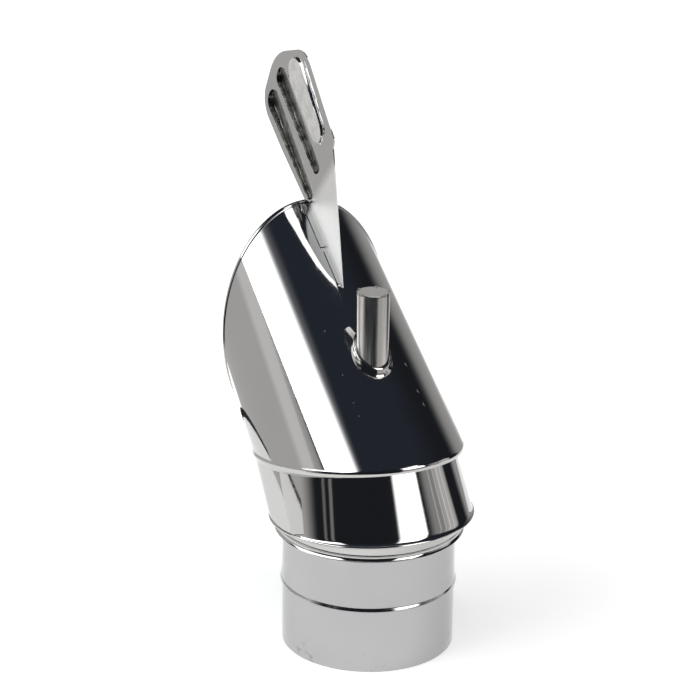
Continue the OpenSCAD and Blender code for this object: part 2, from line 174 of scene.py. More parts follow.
def revolved(name, profile, body, material, sides, crease):
    """A solid turned round the upright axis from a closed profile of [radius, height]."""
    profile = np.asarray(profile, float)
    turn = around(sides)
    loops = np.stack([profile[:, :1] * np.cos(turn), profile[:, :1] * np.sin(turn),
                      np.repeat(profile[:, 1:], sides, 1)], -1)
    return closed_loft(name, loops, body, material, crease)


def smooth_profile(points, steps):
    """Points on a smooth curve through the given ones, with that many steps between two of them."""
    pts = np.asarray(points, float)
    before = np.vstack([2 * pts[0] - pts[1], pts[:-1]])
    after = np.vstack([pts[1:], 2 * pts[-1] - pts[-2]])
    slope = (after - before) / 2
    out = []
    for k in range(len(pts) - 1):
        for u in np.linspace(0, 1, steps, endpoint=False):
            h00, h10 = 2 * u**3 - 3 * u**2 + 1, u**3 - 2 * u**2 + u
            h01, h11 = -2 * u**3 + 3 * u**2, u**3 - u**2
            out.append(h00 * pts[k] + h10 * slope[k] + h01 * pts[k + 1] + h11 * slope[k + 1])
    out.append(pts[-1])
    return np.array(out)


# The barrel is a slightly tapered tube that leans forward. Its axis starts at SEAM_O, and a place on
# it is given by phi, the angle round the axis from its back, and s, the distance along the axis.

AXIS = np.array([-sin(BARREL_LEAN), cos(BARREL_LEAN)])
BACK = np.array([cos(BARREL_LEAN), sin(BARREL_LEAN)])
SEAM_O = np.array([-SEAM_SHIFT, SEAM_Z])
SEAM_V = np.array([cos(SEAM_TILT), sin(SEAM_TILT)])
SEAM_N = np.array([-sin(SEAM_TILT), cos(SEAM_TILT)])


def barrel_point(phi, s, r=BARREL_R):
    """The place at phi and s on a barrel whose radius at the seam's centre is r."""
    phi, s, r = np.broadcast_arrays(phi, s, r)
    here = r - BARREL_TAPER * s
    x = SEAM_O[0] + s * AXIS[0] + here * np.cos(phi) * BACK[0]
    z = SEAM_O[1] + s * AXIS[1] + here * np.cos(phi) * BACK[1]
    return np.stack([x, here * np.sin(phi), z], -1)


def seam_s(phi, r=BARREL_R):
    """Distance along the axis at which the barrel meets the plane of the seam."""
    c = np.cos(phi)
    along, back = AXIS @ SEAM_N, BACK @ SEAM_N
    return -r * c * back / (along - BARREL_TAPER * c * back)


def mouth_s(phi, r=BARREL_R, depth=0.0):
    """Distance along the axis at which the barrel meets the mouth's plane, or one behind it."""
    c = np.cos(phi)
    reach = -MOUTH_X + depth - SEAM_O[0] - r * c * BACK[0]
    return reach / (AXIS[0] - BARREL_TAPER * c * BACK[0])


def barrel_height(x, y, r=BARREL_R):
    """Height of the barrel's back over a point of the ground plane."""
    dx = x - SEAM_O[0]
    s0, e0 = dx * AXIS[0], dx * BACK[0]
    wide = r - BARREL_TAPER * s0
    a = BACK[1] ** 2 - (BARREL_TAPER * AXIS[1]) ** 2
    b = e0 * BACK[1] + wide * BARREL_TAPER * AXIS[1]
    c = e0**2 + y**2 - wide**2
    return SEAM_O[1] + (-b + np.sqrt(b * b - a * c)) / a


# Sections of the ring under the barrel: centre x and z, half length x and z, half width.

def seam_section(r=BARREL_R):
    """The section in which a barrel of that radius meets the plane of the seam."""
    p = barrel_point(0.0, seam_s(0.0, r), r)[[0, 2]]
    q = barrel_point(pi, seam_s(pi, r), r)[[0, 2]]
    middle = (p + q) / 2
    s = (middle - SEAM_O) @ AXIS
    e = (middle - SEAM_O) @ BACK
    wide = r - BARREL_TAPER * s
    return np.array([*middle, *((p - q) / 2), sqrt(wide * wide - e * e)])


SEAM_SEC = seam_section()
OPENING_SEC = np.array([0, FLANGE_Z, OPENING_R, 0, OPENING_R])
RIM_LONG = RIM_R - RIM_SQUASH
RIM_SEC = np.array([RIM_SHIFT, RIM_Z, RIM_LONG * cos(RIM_TILT), RIM_LONG * sin(RIM_TILT), RIM_R])
# The wall ends inside the seam, STEP_BACK, STEP_FRONT and STEP_SIDE away from its edge.
TOP_MID = (STEP_FRONT - STEP_BACK) / 2
TOP_CUT = (STEP_FRONT + STEP_BACK) / 2
TOP_SEC = np.array([SEAM_SEC[0] + TOP_MID * SEAM_V[0], SEAM_SEC[1] + TOP_MID * SEAM_V[1],
                    SEAM_SEC[2] - TOP_CUT * SEAM_V[0], SEAM_SEC[3] - TOP_CUT * SEAM_V[1],
                    SEAM_SEC[4] - STEP_SIDE])
# The wall's share of its height at which the bead starts, and to which it laps over the wall.
BEAD_U = 1 - BEAD_H / (TOP_SEC[1] - RIM_SEC[1])
LAP_U = BEAD_U + BEAD_LAP
# The rim's corner is rounded off in the part, so its roll lies a little inside the sharp corner.
ROLL_R = 1.45
ROLL_UP = 0.5
ROLL_SHIFT = -1.4
ROLL_IN_X = 1.25
ROLL_IN_Y = 0.68
ROLL_SEC = RIM_SEC + np.array([ROLL_SHIFT, 0, -ROLL_IN_X, 0, -ROLL_IN_Y])
WALL_IN = 0.8


def lerp(a, b, u):
    return a + (b - a) * u


def beside(sec, out, up):
    """A section moved out all round and up."""
    return sec + np.array([0, up, out, 0, out])


def wall(u):
    """Section of the ring's wall at a share of its height."""
    return lerp(beside(ROLL_SEC, -WALL_IN, 0), TOP_SEC, u)


def grow(sec, g, depth=0.0):
    """A section grown by g all round and sunk by depth square to the seam."""
    return sec + np.array([-depth * SEAM_N[0], -depth * SEAM_N[1], g * SEAM_V[0], g * SEAM_V[1], g])


def section_points(sec):
    """Points round a section."""
    turn = around(RING_SIDES)
    return np.stack([sec[0] + sec[2] * np.cos(turn), sec[4] * np.sin(turn),
                     sec[1] + sec[3] * np.cos(turn)], -1)


def inner_sections(sections, thick):
    """The inner face of a sheet whose outer face runs upward through these sections."""
    run = np.gradient(np.array([[sec[4], sec[1]] for sec in sections]), axis=0)
    run /= np.linalg.norm(run, axis=1, keepdims=True)
    return [beside(sec, -thick * up, thick * out) for sec, (out, up) in zip(sections, run)]


# Materials. Constant values stand on the shader's own sockets.

class Nodes:
    """Short names for making and linking the nodes of one material or world."""

    def __init__(self, tree, keep=False):
        self.tree = tree
        if not keep:
            self.tree.nodes.clear()

    def add(self, kind, **values):
        node = self.tree.nodes.new("ShaderNode" + kind)
        for key, value in values.items():
            setattr(node, key, value)
        return node

    def put(self, socket, value):
        if isinstance(value, bpy.types.NodeSocket):
            self.tree.links.new(value, socket)
        else:
            socket.default_value = value

    def split(self, vector):
        node = self.add("SeparateXYZ")
        self.put(node.inputs[0], vector)
        return node.outputs

    def math(self, operation, a, b=0.0, c=0.0):
        node = self.add("Math", operation=operation)
        for socket, value in zip(node.inputs, (a, b, c)):
            self.put(socket, value)
        return node.outputs[0]

    def spread(self, value, low, high, to_low=0.0, to_high=1.0):
        """Value taken smoothly from the range low to high onto another range, and held at its ends."""
        node = self.add("MapRange", interpolation_type="SMOOTHSTEP")
        for socket, number in zip(node.inputs, (value, low, high, to_low, to_high)):
            self.put(socket, number)
        return node.outputs[0]

    def noise(self, vector, scale, detail=2.0, roughness=0.5):
        node = self.add("TexNoise")
        self.put(node.inputs["Vector"], vector)
        self.put(node.inputs["Scale"], scale)
        self.put(node.inputs["Detail"], detail)
        self.put(node.inputs["Roughness"], roughness)
        return node.outputs["Fac"]

    def stretched(self, vector, scale):
        node = self.add("Mapping")
        self.put(node.inputs["Vector"], vector)
        node.inputs["Scale"].default_value = scale
        return node.outputs["Vector"]

    def bump(self, height, distance, normal=None):
        node = self.add("Bump")
        node.inputs["Strength"].default_value = 1.0
        node.inputs["Distance"].default_value = distance
        self.put(node.inputs["Height"], height)
        if normal is not None:
            self.put(node.inputs["Normal"], normal)
        return node.outputs["Normal"]

    def blend(self, share, first, second):
        """The first colour turned into the second by share."""
        node = self.add("Mix", data_type="RGBA")
        self.put(node.inputs["Factor"], share)
        self.put(node.inputs["A"], first)
        self.put(node.inputs["B"], second)
        return node.outputs["Result"]

    def together(self, first, second):
        """Two shaders added up and given to the material's output."""
        both = self.add("AddShader")
        self.put(both.inputs[0], first.outputs[0])
        self.put(both.inputs[1], second.outputs[0])
        self.put(self.add("OutputMaterial").inputs["Surface"], both.outputs[0])


def new_material(name):
    material = bpy.data.materials.new(name)
    material.use_nodes = True
    return material, Nodes(material.node_tree)


WAVE_SCALE = 9.0


def metal(name, colour, rough, rough_spread, wave=0.0, grain=0.0, grain_scale=(40, 40, 700), tint=0.03,
          patch_scale=22.0, mottled=False):
    """Steel sheet or bar. Its slow unevenness is wave high and its polishing lines grain high, both in
    metres. The colour strays by the share tint, in patches with sharper edges where it is mottled."""
    material, n = new_material(name)
    place = n.add("TexCoord").outputs["Object"]
    shader = n.add("BsdfPrincipled")
    shader.inputs["Metallic"].default_value = 1.0
    n.put(n.add("OutputMaterial").inputs["Surface"], shader.outputs["BSDF"])

    patches = n.noise(place, patch_scale, detail=3.0)
    if mottled:
        patches = n.spread(patches, 0.38, 0.62)
    low = [c * (1 - tint) for c in colour]
    high = [min(c * (1 + tint), 1.0) for c in colour]
    n.put(shader.inputs["Base Color"], n.blend(patches, (*low, 1), (*high, 1)))

    lines = n.noise(n.stretched(place, grain_scale), 1.0, detail=3.0, roughness=0.6)
    n.put(shader.inputs["Roughness"], n.spread(lines, 0.3, 0.7, rough, rough + rough_spread))
    normal = None
    if wave:
        normal = n.bump(n.noise(place, WAVE_SCALE, detail=1.0), wave)
    if grain:
        normal = n.bump(lines, grain, normal)
    if normal is not None:
        n.put(shader.inputs["Normal"], normal)
    return material


MIRROR = {"colour": (0.51, 0.506, 0.498), "rough": 0.035, "rough_spread": 0.03, "wave": 0.00008,
          "grain": 0.0000008}
POLISHED = metal("polished_sheet", **MIRROR)
# Painted reflections on the vane's troughs: dark and mottled in the first two, pale on the third trough's
# floor.
PAINTED_TROUGH_SHADE = metal("painted_trough_shade", (0.15, 0.15, 0.138), 0.2, 0.16, wave=0.0001, grain=0.00003,
                grain_scale=(240, 240, 90), tint=0.5, patch_scale=130.0, mottled=True)
PAINTED_TROUGH_HIGHLIGHT = metal("painted_trough_highlight", (0.82, 0.82, 0.80), 0.16, 0.12, wave=0.0002, grain=0.00002,
                     grain_scale=(200, 200, 60), tint=0.08, patch_scale=110.0, mottled=True)
VANE_SHEET = metal("vane_sheet", **MIRROR)
SPIGOT_SHEET = metal("spigot_sheet", (0.425, 0.424, 0.43), 0.10, 0.06, wave=0.00005, grain=0.000002,
                     tint=0.05)
SATIN = metal("drawn_tube", (0.50, 0.49, 0.475), 0.16, 0.10, grain=0.000006, grain_scale=(500, 500, 12))
PLAIN = metal("plain_steel", (0.45, 0.45, 0.45), 0.32, 0.14, grain=0.00001, grain_scale=(60, 60, 60))
BEARING = metal("bearing_steel", (0.58, 0.58, 0.59), 0.14, 0.08, grain=0.000004)
WELD = metal("weld_bead", (0.33, 0.31, 0.29), 0.38, 0.2, grain=0.00008, grain_scale=(600, 600, 600),
             tint=0.2)
CAD_LOOKS = {"polished_steel": POLISHED, "satin_steel": SATIN, "plain_steel": PLAIN,
             "bearing_steel": BEARING, "weld_steel": WELD}

# Handling has scuffed the spigot up to SCUFF_TOP, most below SCUFF_FULL.
SCUFF_TOP = 26.0
SCUFF_FULL = 4.0
SCUFF_SCALE = 75.0
SCUFF_SHARE = 0.5
SCUFF_COLOUR = (0.2, 0.2, 0.2, 1)
# Behind the mouth the vane's sheet gets rougher and a painted pale highlight, from the first distance on
# and fully at the second.
FOOT_HIGHLIGHT_FROM = -3.0
FOOT_HIGHLIGHT_FULL = -16.0
DULL_ROUGH = 0.42
FOOT_HIGHLIGHT_COLOUR = (0.85, 0.85, 0.84, 1)


def reopen(material):
    """A finished material's nodes, its shader and its object coordinates."""
    n = Nodes(material.node_tree, keep=True)
    shader = next(node for node in n.tree.nodes if node.type == "BSDF_PRINCIPLED")
    return n, shader, n.add("TexCoord").outputs["Object"]


def repaint(n, shader, share, colour):
    """Turn the shader's colour into another one by share."""
    socket = shader.inputs["Base Color"]
    n.put(socket, n.blend(share, socket.links[0].from_socket, colour))


def scuff_foot(material):
    """Dull marks of handling near the spigot's lower edge."""
    n, shader, place = reopen(material)
    marks = n.noise(n.stretched(place, (1, 1, 1.6)), SCUFF_SCALE, detail=5.0, roughness=0.7)
    spots = n.spread(marks, 0.59, 0.66)
    low = n.spread(n.split(place)[2], SCUFF_TOP * MM, SCUFF_FULL * MM)
    share = n.math("MULTIPLY", n.math("MULTIPLY", spots, low), SCUFF_SHARE)
    repaint(n, shader, share, SCUFF_COLOUR)


# Pieces.

def make_spigot():
    scuff_foot(SPIGOT_SHEET)
    # The stop bead steps out sharply at its foot and falls off gently above.
    p, z, h = STOP_PROUD, STOP_Z, STOP_W
    bead = smooth_profile([[p * out, z + h * up] for out, up in (
        (0, 0), (0.72, 0.02), (1, 0.07), (0.9, 0.13), (0.68, 0.2), (0.46, 0.27), (0.36, 0.36),
        (0.26, 0.5), (0.11, 0.78), (0, 1))], 6)
    cut = 0.25
    below = [[0, e] for e in (cut, 1.0, z * 0.5, z - 0.6)]
    above = [[0, e] for e in (z + h + 1, SPIGOT_H - 1, SPIGOT_H - cut)]
    outer = np.array([*below, *bead, *above]) + [SPIGOT_R, 0]
    inner = (outer - [SPIGOT_WALL, 0])[::-1]
    foot = [[SPIGOT_R - SPIGOT_WALL + cut, 0], [SPIGOT_R - cut, 0]]
    top = [[SPIGOT_R - cut, SPIGOT_H], [SPIGOT_R - SPIGOT_WALL + cut, SPIGOT_H]]
    profile = np.vstack([outer, top, inner, foot])
    piece = revolved("spigot_sheet", profile, "base", SPIGOT_SHEET, SPIGOT_SIDES, 50)
    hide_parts("spigot")


def make_ring():
    # The collar at the opening flares out downwards, the band rises from it to the rolled rim.
    collar = smooth_profile([beside(OPENING_SEC, out, up) for out, up in (
        (1.7, -1.7), (1.3, -1.3), (0.75, -0.65), (0.35, 0.05), (0.1, 0.9), (0.1, 1.8), (0.5, 2.6))], 4)
    band_foot = beside(OPENING_SEC, 0.9, 2.95)
    band_top = beside(ROLL_SEC, -ROLL_R - 1.1, -0.9)
    band = [lerp(band_foot, band_top, u) for u in (0, 0.25, 0.5, 0.75, 1)]
    roll = [beside(ROLL_SEC, ROLL_R * (cos(a) - 1), ROLL_UP + ROLL_R * sin(a))
            for a in np.radians(np.arange(-105, 76, 7.5))]
    rise = [wall(u) for u in (0.06, 0.1, 0.2, 0.35, 0.5, 0.65, 0.8, BEAD_U, LAP_U)]
    outer = [*collar, *band, *roll, *rise]
    loops = [section_points(sec) for sec in outer + inner_sections(outer, HOOD_WALL)[::-1]]
    piece = closed_loft("ring_sheet", loops, "hood", POLISHED, 50)
    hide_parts("hood_ring")


def make_bead():
    h, p = BEAD_H, BEAD_PROUD
    curve = smooth_profile([grow(SEAM_SEC, p * out, h * down) for out, down in (
        (0, 0), (0.7, 0.15), (1, 0.36), (0.6, 0.58), (-0.3, 0.76))], 6)
    inside = [grow(wall(BEAD_U), WELD_GAP), grow(wall(LAP_U), WELD_GAP),
              grow(SEAM_SEC, -HOOD_WALL * 1.1, h * 0.6), grow(SEAM_SEC, -HOOD_WALL)]
    loops = [section_points(sec) for sec in [*curve, *inside]]
    piece = closed_loft("bead_sheet", loops, "hood", POLISHED, 40)
    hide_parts("seam_bead")


# Spot welds of the inner bracket show as dimples on both sides of the back, at DIMPLE_PHI degrees.
DIMPLE_PHI = 22.0
DIMPLE_S = (74.0, 30.0, 3.0, -10.0)
DIMPLE_R = 1.6
DIMPLE_D = 0.5


def barrel_relief(phi, s):
    """How far the sheet stands out from the plain tapered tube."""
    relief = np.zeros(np.broadcast(phi, s).shape)
    for angle in (-DIMPLE_PHI, DIMPLE_PHI):
        for along in DIMPLE_S:
            away = np.hypot((phi - radians(angle)) * BARREL_R, s - along)
            relief -= DIMPLE_D * np.exp(-(away / DIMPLE_R) ** 2)
    return relief


def make_barrel():
    # Columns every degree, and every quarter of one near the dimples.
    coarse = np.arange(-180.0, 180.0, 1.0)
    fine = [side + d for side in (-DIMPLE_PHI, DIMPLE_PHI) for d in np.arange(-3.0, 3.01, 0.25)]
    phi = np.radians(np.unique(np.round(np.concatenate([coarse, fine]), 4)))[None, :]
    rows, cols = BARREL_ROWS, phi.shape[1]
    share = np.linspace(0, 1, rows)[:, None]
    radii = (BARREL_R, BARREL_R - HOOD_WALL)
    sides = []
    for r in radii:
        low = seam_s(phi, r)
        # Where the mouth's plane passes below the seam, the sheet shrinks to a thread along it.
        high = np.maximum(mouth_s(phi, r), low + 0.01)
        s = low + (high - low) * share
        sides.append(barrel_point(phi, s, r + barrel_relief(phi, s)))
    outer = sides[0]
    # Points over the bearing tube move out to the edge of its hole in the barrel's back.
    hole_r = TUBE_R + LIP_GAP
    on_back = outer[..., 2] > SEAM_Z + 30
    in_hole = (np.hypot(outer[..., 0], outer[..., 1]) < hole_r) & on_back
    faces = quads(rows, cols, False, True)
    faces = faces[~in_hole.reshape(-1)[faces].all(1)]
    for side, r in zip(sides, radii):
        x, y = side[..., 0][in_hole], side[..., 1][in_hole]
        pull = hole_r / np.maximum(np.hypot(x, y), 1e-6)
        x, y = x * pull, y * pull
        side[in_hole] = np.stack([x, y, barrel_height(x, y, r)], -1)
    count = rows * cols
    points = np.vstack([side.reshape(-1, 3) for side in sides])
    walls = [[b, a, a + count, b + count] for a, b in open_edges(faces.tolist())]
    faces = np.vstack([faces, faces[:, ::-1] + count, walls])
    used, renumbered = np.unique(faces, return_inverse=True)
    piece = add_object("barrel_sheet", points[used], renumbered.reshape(-1, 4), "hood", POLISHED, 40)
    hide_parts("hood_barrel")


def make_hem():
    phi = np.linspace(-pi, pi, HEM_SIDES, endpoint=False)
    phi = phi[mouth_s(phi) > seam_s(phi) + HEM_W]
    # The roll leans towards the mouth over most of its width and turns down sharply behind. Its points
    # are shares of its width behind the mouth and of its thickness, and its foot stands just clear.
    foot = 0.02
    roll = [[HEM_W * back, HEM_T * out] for back, out in (
        (0, 0.2), (0.08, 0.38), (0.25, 0.62), (0.45, 0.84), (0.62, 0.96), (0.74, 1), (0.86, 0.93),
        (0.95, 0.7), (1, 0.35))]
    profile = [[0, foot], *roll, [HEM_W, foot], [HEM_W * 0.5, foot]]
    loops = np.array([barrel_point(phi, mouth_s(phi, BARREL_R + out, back), BARREL_R + out)
                      for back, out in profile])
    rows, cols = loops.shape[:2]
    ends = [[i * cols for i in range(rows)], [i * cols + cols - 1 for i in range(rows)]]
    sides = quads(rows, cols, True, False)
    if volume(loops.reshape(-1, 3), sides) < 0:
        sides = sides[:, ::-1]
        ends[1].reverse()
    else:
        ends[0].reverse()
    piece = add_object("hem_roll", loops, sides.tolist() + ends, "hood", POLISHED, 60)
    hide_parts("mouth_hem")


def make_lip():
    r_in = TUBE_R + LIP_GAP
    r_out = r_in + LIP_T + LIP_FOOT
    top = LIP_H / sin(BARREL_LEAN)
    # Up the inside, over the round top and down the outside to a foot that runs out on the barrel.
    over = [[r_in + LIP_T * out, top * up] for out, up in (
        (0.5, 1), (0.85, 0.95), (1, 0.84), (1.05, 0.6), (1.25, 0.36), (1.75, 0.16))]
    profile = [[r_in, -0.4], [r_in, top * 0.5], [r_in, top * 0.85], [r_in + 0.15, top * 0.96], *over,
               [r_out - 0.5, top * 0.045], [r_out, 0.02], [r_out - 0.6, -0.05], [r_in + 0.4, -0.4]]
    turn = around(SMALL_SIDES)
    loops = []
    for r, rise in smooth_profile(profile, 4)[:-1]:
        x, y = r * np.cos(turn), r * np.sin(turn)
        loops.append(np.stack([x, y, barrel_height(x, y) + rise], -1))
    piece = closed_loft("tube_lip_roll", loops, "hood", POLISHED, 60)
    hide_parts("tube_lip")


def make_tube():
    r, r_in, cut, middle = TUBE_R, TUBE_R - TUBE_WALL, 0.3, 250.0
    profile = [[r, TUBE_LOW + cut], [r, TUBE_LOW + 1], [r, middle], [r, TUBE_TOP - 1], [r, TUBE_TOP - cut],
               [r - cut, TUBE_TOP], [r_in + 0.05, TUBE_TOP], [r_in, TUBE_TOP - 0.2],
               [r_in, TUBE_LOW + cut], [r_in + cut, TUBE_LOW], [r - cut, TUBE_LOW]]
    piece = revolved("bearing_tube_wall", profile, "hood", SATIN, SMALL_SIDES, 25)
    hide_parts("bearing_tube")

    r, z, clear = TUBE_R - 0.15, TUBE_TOP, 0.02
    cap = [[0.01, z + CAP_T], [r * 0.6, z + CAP_T], [r - 0.5, z + CAP_T], [r - 0.1, z + CAP_T * 0.75],
           [r, z + CAP_T * 0.4], [r, z + clear], [r * 0.6, z + clear], [0.01, z + clear]]
    piece = revolved("tube_cap_disc", cap, "hood", SATIN, SMALL_SIDES, 25)
    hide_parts("tube_cap")


# The vane: p runs forward from the mouth along the barrel's back, q stands off it.

def vane_axes():
    """The crest of the mouth, and the directions of p and q there."""
    reach = -MOUTH_X - SEAM_O[0] - BARREL_R * BACK[0]
    s = reach / (AXIS[0] - BARREL_TAPER * BACK[0])
    start = SEAM_O + s * AXIS + (BARREL_R - BARREL_TAPER * s) * BACK
    along = AXIS - BARREL_TAPER * BACK
    along = along / np.linalg.norm(along)
    return start, along, np.array([along[1], -along[0]])


CREST, CREST_V, CREST_N = vane_axes()

# Corners of the vane's outline: p, q and the radius that rounds the corner.
VANE_CORNERS = [(-ROOT_L, 0, 0), (0, VANE_H, 2), (4, VANE_H + 7.5, 2),
                (VANE_REACH * 0.79, TIP_H, 24), (VANE_REACH + 9, TIP_H * 0.525, 45),
                (VANE_REACH - 5, -1.5, 24), (VANE_REACH * 0.5, -2.3, 60), (0, 0, 0)]
# Pressed troughs, each a tapered slot with a slanting floor: lower end, its radius, upper end, its
# radius, lean. With a lean above zero the floor sinks from the rear edge, below zero it rises from
# the front edge.
TROUGHS = [((0, 11), 6.5, (VANE_REACH - 20, 17), 12, 1.0),
           ((9, 38.5), 7, (VANE_REACH - 15, 45.5), 10.5, 0.9),
           ((30, 64), 13, (VANE_REACH * 0.73, 71.5), 16.5, -0.6)]
# The sheet's net: loops on each trough's walls, distance between its points on the flats, which keep
# NET_CLEAR away from the walls, and distance between points along its outlines.
WALL_LOOPS = 9
NET_STEP = 3.0
NET_CLEAR = 0.7
EDGE_STEP = 2.0


def vane_place(p, q, y):
    x = CREST[0] + p * CREST_V[0] + q * CREST_N[0]
    z = CREST[1] + p * CREST_V[1] + q * CREST_N[1]
    return np.stack(np.broadcast_arrays(x, y, z), -1)


def rounded(a, b, c, r, n=10):
    """Corner b between a and c, rounded to radius r."""
    if r == 0:
        return [b]
    a, b, c = (np.asarray(v, float) for v in (a, b, c))
    u = (a - b) / np.linalg.norm(a - b)
    v = (c - b) / np.linalg.norm(c - b)
    half = acos(np.clip(u @ v, -1, 1)) / 2
    middle = (u + v) / np.linalg.norm(u + v)
    centre = b + middle * r / sin(half)
    spoke = b + u * r / tan(half) - centre
    side = 1 if u[0] * v[1] - u[1] * v[0] > 0 else -1
    angles = -side * (pi - 2 * half) * np.arange(n + 1) / n
    return [centre + [spoke[0] * cos(g) - spoke[1] * sin(g), spoke[0] * sin(g) + spoke[1] * cos(g)]
            for g in angles]


def divided(outline):
    """A closed outline with points added along its long edges."""
    loop = [np.asarray(v, float) for v in outline]
    out = []
    for here, there in zip(loop, loop[1:] + loop[:1]):
        pieces = max(1, int(np.linalg.norm(there - here) / EDGE_STEP))
        out += [here + (there - here) * j / pieces for j in range(pieces)]
    return out


def slot_depth(trough, p, q):
    """Distance inside the edge of a trough, negative outside it."""
    low, r1, high, r2, _ = trough
    low, high = np.asarray(low, float), np.asarray(high, float)
    run = high - low
    h = np.linalg.norm(run)
    along = run / h
    dx, dy = p - low[0], q - low[1]
    px, py = np.abs(dx * along[1] - dy * along[0]), dx * along[0] + dy * along[1]
    b = (r1 - r2) / h
    a = sqrt(1 - b * b)
    k = -b * px + a * py
    return np.where(k < 0, r1 - np.hypot(px, py),
                    np.where(k > a * h, r2 - np.hypot(px, py - h), r1 - (a * px + b * py)))


def slot_outline(trough, inset, n=24):
    """Closed outline of a trough, moved inward by inset, with n points round each end."""
    low, r1, high, r2, _ = trough
    low, high = np.asarray(low, float), np.asarray(high, float)
    run = high - low
    a = atan2(run[1], run[0])
    k = acos((r1 - r2) / np.linalg.norm(run))
    first = [low + (r1 - inset) * np.array([cos(g), sin(g)])
             for g in np.linspace(a + k, a + 2 * pi - k, n)]
    last = [high + (r2 - inset) * np.array([cos(g), sin(g)]) for g in np.linspace(a - k, a + k, n)]
    return divided(first + last)


def floor_height(trough, p, q):
    """The slanting floor of a trough."""
    low, r1, high, r2, lean = trough
    run = np.subtract(high, low)
    turn = atan2(run[1], run[0]) + np.sign(lean) * acos((r1 - r2) / np.linalg.norm(run))
    across = (r1 - (p - low[0]) * cos(turn) - (q - low[1]) * sin(turn)) / (2 * r2)
    return PRESS_D * lean * across


def vane_relief(p, q):
    """How far the pressing moves the sheet towards +Y: steep walls down to the slanting floors."""
    steep = PRESS_D / PRESS_SLOPE
    edge, bend = 0.2, 0.1
    y = np.zeros(np.shape(p))
    for trough in TROUGHS:
        inside_by = slot_depth(trough, p, q) - edge
        wall_y = steep * (inside_by + np.sqrt(inside_by**2 + edge**2)) / 2
        floor_y = np.abs(floor_height(trough, p, q))
        lower = (wall_y + floor_y - np.sqrt((wall_y - floor_y) ** 2 + bend**2)) / 2
        y = y + np.sign(trough[4]) * np.where(inside_by > -1.5, np.maximum(lower, 0), 0)
    return y


def vane_net():
    """Points of the vane's sheet in p and q, and its triangles, finest on the troughs' walls."""
    outline = []
    for i, (p, q, r) in enumerate(VANE_CORNERS):
        after = VANE_CORNERS[(i + 1) % len(VANE_CORNERS)]
        outline += rounded(VANE_CORNERS[i - 1][:2], (p, q), after[:2], r)
    rim = divided(outline)
    insets = np.linspace(0, PRESS_SLOPE, WALL_LOOPS)
    points, edges = [], []
    for loop in [rim] + [slot_outline(trough, inset) for trough in TROUGHS for inset in insets]:
        start = len(points)
        points += [Vector(v) for v in loop]
        edges += [(start + i, start + (i + 1) % len(loop)) for i in range(len(loop))]
    for p in np.arange(-ROOT_L, VANE_REACH + 6, NET_STEP):
        for q in np.arange(1.0, TIP_H, NET_STEP):
            near = min(abs(slot_depth(trough, p, q) - PRESS_SLOPE / 2) for trough in TROUGHS)
            if near > PRESS_SLOPE / 2 + NET_CLEAR:
                points.append(Vector((p, q)))
    flat, _, tris, *_ = delaunay_2d_cdt(points, edges, [list(range(len(rim)))], 1, 1e-5)
    tris = np.array([list(t) for t in tris if len(t) == 3])
    used, tris = np.unique(tris, return_inverse=True)
    return np.array([[flat[i].x, flat[i].y] for i in used]), tris.reshape(-1, 3)


def vane_normals(p, q):
    """Directions square to the pressed sheet, on its front."""
    h = 0.02
    slope_p = (vane_relief(p + h, q) - vane_relief(p - h, q)) / (2 * h)
    slope_q = (vane_relief(p, q + h) - vane_relief(p, q - h)) / (2 * h)
    out_p = slope_p[:, None] * np.array([CREST_V[0], 0, CREST_V[1]])
    out_q = slope_q[:, None] * np.array([CREST_N[0], 0, CREST_N[1]])
    normal = out_p + out_q - np.array([0, 1, 0])
    return normal / np.linalg.norm(normal, axis=1, keepdims=True)


def rough_foot_painted_highlight(material):
    """Roughen the sheet behind the troughs and paint a pale highlight on it there."""
    n, shader, place = reopen(material)
    x, _, z = n.split(place)
    p = n.math("ADD", n.math("MULTIPLY", n.math("ADD", x, -CREST[0] * MM), CREST_V[0]),
               n.math("MULTIPLY", n.math("ADD", z, -CREST[1] * MM), CREST_V[1]))
    share = n.spread(p, FOOT_HIGHLIGHT_FROM * MM, FOOT_HIGHLIGHT_FULL * MM)
    rough = shader.inputs["Roughness"]
    dull = n.math("MULTIPLY", share, DULL_ROUGH)
    n.put(rough, n.math("MAXIMUM", rough.links[0].from_socket, dull))
    # The pale colour is a painted highlight.
    repaint(n, shader, share, FOOT_HIGHLIGHT_COLOUR)


